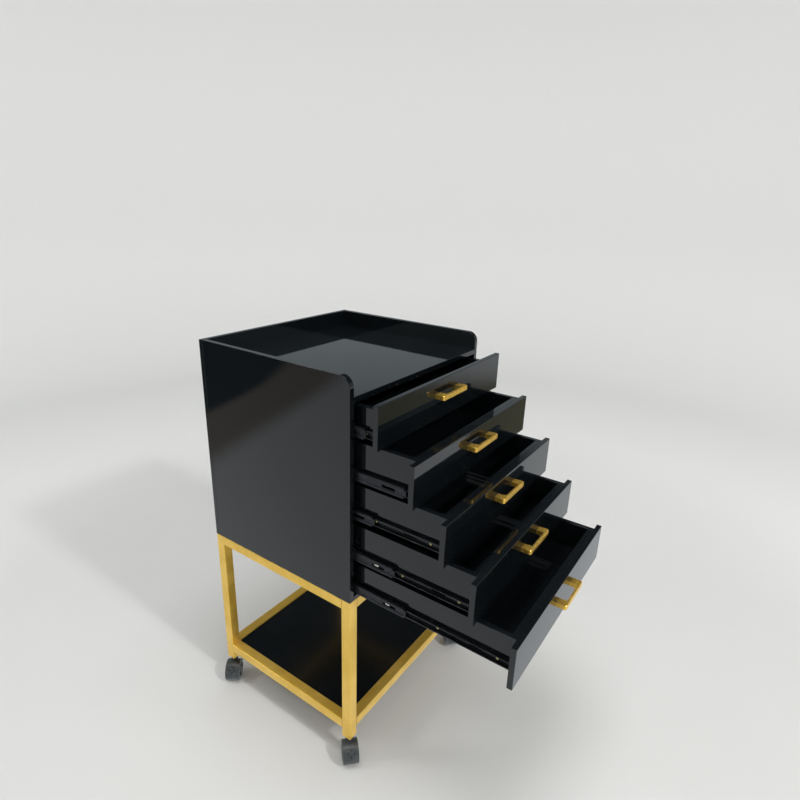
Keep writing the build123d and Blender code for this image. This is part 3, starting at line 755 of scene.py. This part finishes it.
def wheel_profile():
    """Return one wheel's turned outline, from its inner face out over the grooved tread to its hub."""
    inner = WHEEL_INNER_FACE
    outer = WHEEL_OUTER_FACE
    crown = WHEEL_RADIUS - SHOULDER
    dish = outer - DISH_DEPTH
    points = [(inner, BORE_RADIUS), (inner, crown)]
    points += arc((inner + SHOULDER, crown), SHOULDER, 180, 90, SHOULDER_STEPS)
    tread = outer - inner - 2 * SHOULDER
    for groove in range(GROOVE_COUNT):
        points += groove_points(inner + SHOULDER + tread * (groove + 0.5) / GROOVE_COUNT)
    points += arc((outer - SHOULDER, crown), SHOULDER, 90, 0, SHOULDER_STEPS)
    points += arc((outer - DISH_LIP, DISH_RADIUS + DISH_LIP), DISH_LIP, 0, -90, LIP_STEPS)
    points.append((dish, DISH_RADIUS - DISH_LIP))
    points.append((dish, HUB_RADIUS + DISH_LIP))
    points += arc((outer - HUB_ROUNDING, HUB_RADIUS - HUB_ROUNDING), HUB_ROUNDING, 90, 0, HUB_STEPS)
    points.append((outer, CAP_RADIUS))
    points.append((outer - CAP_SINK, CAP_RADIUS - CAP_SLOPE))
    points.append((outer - CAP_SINK / 2, CAP_EYE_RADIUS))
    return points


def add_spokes(builder, place):
    """Add the ribs that stiffen a wheel's dished outer face."""
    dish = WHEEL_OUTER_FACE - DISH_DEPTH
    half = SPOKE_THICKNESS / 2
    low = (dish - SPOKE_ROOT, HUB_RADIUS - SPOKE_ROOT, -half)
    high = (WHEEL_OUTER_FACE - SPOKE_SINK, DISH_RADIUS + SPOKE_ROOT, half)
    for spoke in range(SPOKES):
        turn = Matrix.Rotation(2 * math.pi * spoke / SPOKES, 4, "X")
        rib = add_plate(builder, low, high)
        bmesh.ops.transform(builder, matrix=place @ turn, verts=rib)


def axle_place(name):
    """Return the transform from a caster's axle frame, with X along the axle, to the row frame."""
    joint = joints[f"caster_{name}_roll"]
    axis = Vector(joint["axis"])
    turn = Matrix.Rotation(math.atan2(axis.y, axis.x), 4, "Z")
    return Matrix.Translation(Vector(joint["pos_m"])) @ turn


def caster_wheels(name, materials):
    """Make a caster's twin wheels in full detail, in place of the plain CAD ones."""
    builder = bmesh.new()
    place = axle_place(name)
    flip = Matrix.Rotation(math.pi, 4, "Z")
    for side in (place, place @ flip):
        add_turned(builder, wheel_profile(), WHEEL_SEGMENTS, side)
        add_spokes(builder, side)
    body = f"caster_{name}_wheels"
    piece = finish_piece(f"caster_{name}_twin_wheels", builder, body, "tread", materials, WHEEL_SMOOTH_ANGLE)
    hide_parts(body)


def caster_dust_cap(name, materials):
    """Make the beaded dust cap round the top of a caster's boss."""
    joint = joints[f"caster_{name}_swivel"]
    x, y, top = joint["pos_m"]
    upright = Matrix.Translation((x, y, 0)) @ Matrix.Rotation(-math.pi / 2, 4, "Y")
    builder = bmesh.new()
    profile = []
    for depth, radius in DUST_CAP_BEADS:
        profile += arc((top - depth, DUST_CAP_RADIUS), radius, 180, 0, DUST_CAP_STEPS)
    add_turned(builder, profile, DUST_CAP_SEGMENTS, upright)
    finish_piece(f"caster_{name}_dust_cap", builder, f"caster_{name}", "nylon", materials)


def soften_hood(name):
    """Round the edges of a caster's CAD hood with modifiers, which leave its mesh as it is."""
    hood = frame["nodes"][f"caster_{name}_hood"]
    weld = hood.modifiers.new("join_faces", "WELD")
    weld.merge_threshold = HOOD_WELD
    bevel = hood.modifiers.new("round_edges", "BEVEL")
    bevel.width = HOOD_BEVEL
    bevel.segments = HOOD_BEVEL_SEGMENTS
    bevel.limit_method = "ANGLE"
    bevel.angle_limit = HOOD_BEVEL_ANGLE
    bevel.harden_normals = True


# ---- Stage, light and camera ----

def stage_outline():
    """Return the backdrop's (radius, height) outline: a floor that curves up into a wall."""
    outline = [(radius, 0.0) for radius in FLOOR_RINGS]
    for step in range(1, CURVE_STEPS + 1):
        angle = math.pi / 2 * step / CURVE_STEPS
        across = FLOOR_RADIUS + FLOOR_CURVE * math.sin(angle)
        outline.append((across, FLOOR_CURVE * (1 - math.cos(angle))))
    outline.append((FLOOR_RADIUS + FLOOR_CURVE, WALL_TOP))
    return outline


def stage_shell(name, outline, material):
    """Turn an outline round the upright axis into a stage piece that is open at the top."""
    builder = bmesh.new()
    rings = []
    for radius, height in outline:
        ring = []
        for step in range(STAGE_SEGMENTS):
            angle = 2 * math.pi * step / STAGE_SEGMENTS
            point = (radius * math.cos(angle), radius * math.sin(angle), height)
            ring.append(builder.verts.new(point))
        rings.append(ring)
    builder.faces.new(rings[0])
    join_rings(builder, rings)
    mesh = bpy.data.meshes.new(name)
    bmesh.ops.recalc_face_normals(builder, faces=builder.faces)
    builder.to_mesh(mesh)
    builder.free()
    mesh.shade_smooth()
    mesh.materials.append(material)
    shell = bpy.data.objects.new(name, mesh)
    bpy.context.scene.collection.objects.link(shell)
    return shell


def backdrop():
    """Make the pale floor and wall that are seen and lit, and a glowing shell, seen only in gloss, that paints the
    reflection of a room.
    """
    seen = stage_shell("backdrop", stage_outline(), stage_material())
    seen.visible_glossy = False
    # Painted reflection: a glowing shell just below the backdrop, seen only by glossy rays, stands in for the lit
    # backdrop's own reflection.
    room = [(radius, height - PAINTED_REFLECTION_BELOW_STAGE) for radius, height in stage_outline()]
    room.append((CEILING_HOLE, WALL_TOP))
    reflection_shell = stage_shell("painted_reflection_room", room, painted_reflection_material())
    reflection_shell.visible_camera = False
    reflection_shell.visible_diffuse = False
    reflection_shell.visible_transmission = False
    reflection_shell.visible_volume_scatter = False
    reflection_shell.visible_shadow = False


def softbox(name, place, size, power, colour):
    """Add a square soft light that faces the cart."""
    light = bpy.data.lights.new(name, "AREA")
    light.shape = "SQUARE"
    light.size = size
    light.energy = power
    light.color = colour
    lamp = bpy.data.objects.new(name, light)
    lamp.location = place
    direction = Vector(LIGHT_TARGET) - Vector(place)
    lamp.rotation_mode = "QUATERNION"
    lamp.rotation_quaternion = direction.to_track_quat("-Z", "Y")
    bpy.context.scene.collection.objects.link(lamp)


def studio_lights():
    """Add the key light in front of the drawers, a low fill, a light from behind and one overhead."""
    for name, (place, size, power, colour) in LIGHTS.items():
        softbox(name, place, size, power, colour)


def studio_world():
    """Light the room evenly from above, without showing in the mirror gloss."""
    world = bpy.data.worlds.new("studio")
    world.use_nodes = True
    background = world.node_tree.nodes["Background"]
    background.inputs["Color"].default_value = (*WORLD_COLOUR, 1.0)
    background.inputs["Strength"].default_value = WORLD_STRENGTH
    bpy.context.scene.world = world
    world.cycles_visibility.glossy = False
    bpy.context.scene.view_settings.view_transform = "Standard"


def cabinet_middle():
    """Return the point on the floor under the cabinet's middle."""
    side_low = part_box("side_panel_left")[0]
    back_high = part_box("back_panel")[1]
    return Vector((0.0, (side_low.y + back_high.y) / 2, 0.0))


def camera_axes():
    """Return the camera's right, up and forward directions."""
    azimuth = math.radians(CAMERA_AZIMUTH)
    pitch = math.radians(CAMERA_PITCH)
    roll = math.radians(CAMERA_ROLL)
    forward = Vector((
        math.sin(azimuth) * math.cos(pitch),
        math.cos(azimuth) * math.cos(pitch),
        -math.sin(pitch),
    ))
    level = Vector((math.cos(azimuth), -math.sin(azimuth), 0.0))
    upright = level.cross(forward)
    right = level * math.cos(roll) + upright * math.sin(roll)
    up = upright * math.cos(roll) - level * math.sin(roll)
    return right, up, forward


def make_camera():
    """Add the camera at the photograph's viewpoint."""
    data = bpy.data.cameras.new("camera")
    data.lens = CAMERA_LENS
    data.sensor_width = SENSOR_WIDTH
    camera = bpy.data.objects.new("camera", data)
    bpy.context.scene.collection.objects.link(camera)
    right, up, forward = camera_axes()
    turn = Matrix((right, up, -forward)).transposed().to_4x4()
    place = cabinet_middle() + Vector((*CAMERA_FROM_CABINET, CAMERA_HEIGHT))
    camera.matrix_world = Matrix.Translation(place) @ turn
    bpy.context.scene.camera = camera


make_camera()
slot_materials = make_materials()
dress_cad_nodes(slot_materials)
for drawer in DRAWERS:
    slide_cages(drawer, slot_materials)
for drawer in DRAWERS_WITH_BUFFERS:
    slide_buffers(drawer, slot_materials)
stand_welds(slot_materials)
for caster in CASTERS:
    caster_wheels(caster, slot_materials)
    caster_dust_cap(caster, slot_materials)
    soften_hood(caster)
backdrop()
studio_lights()
studio_world()
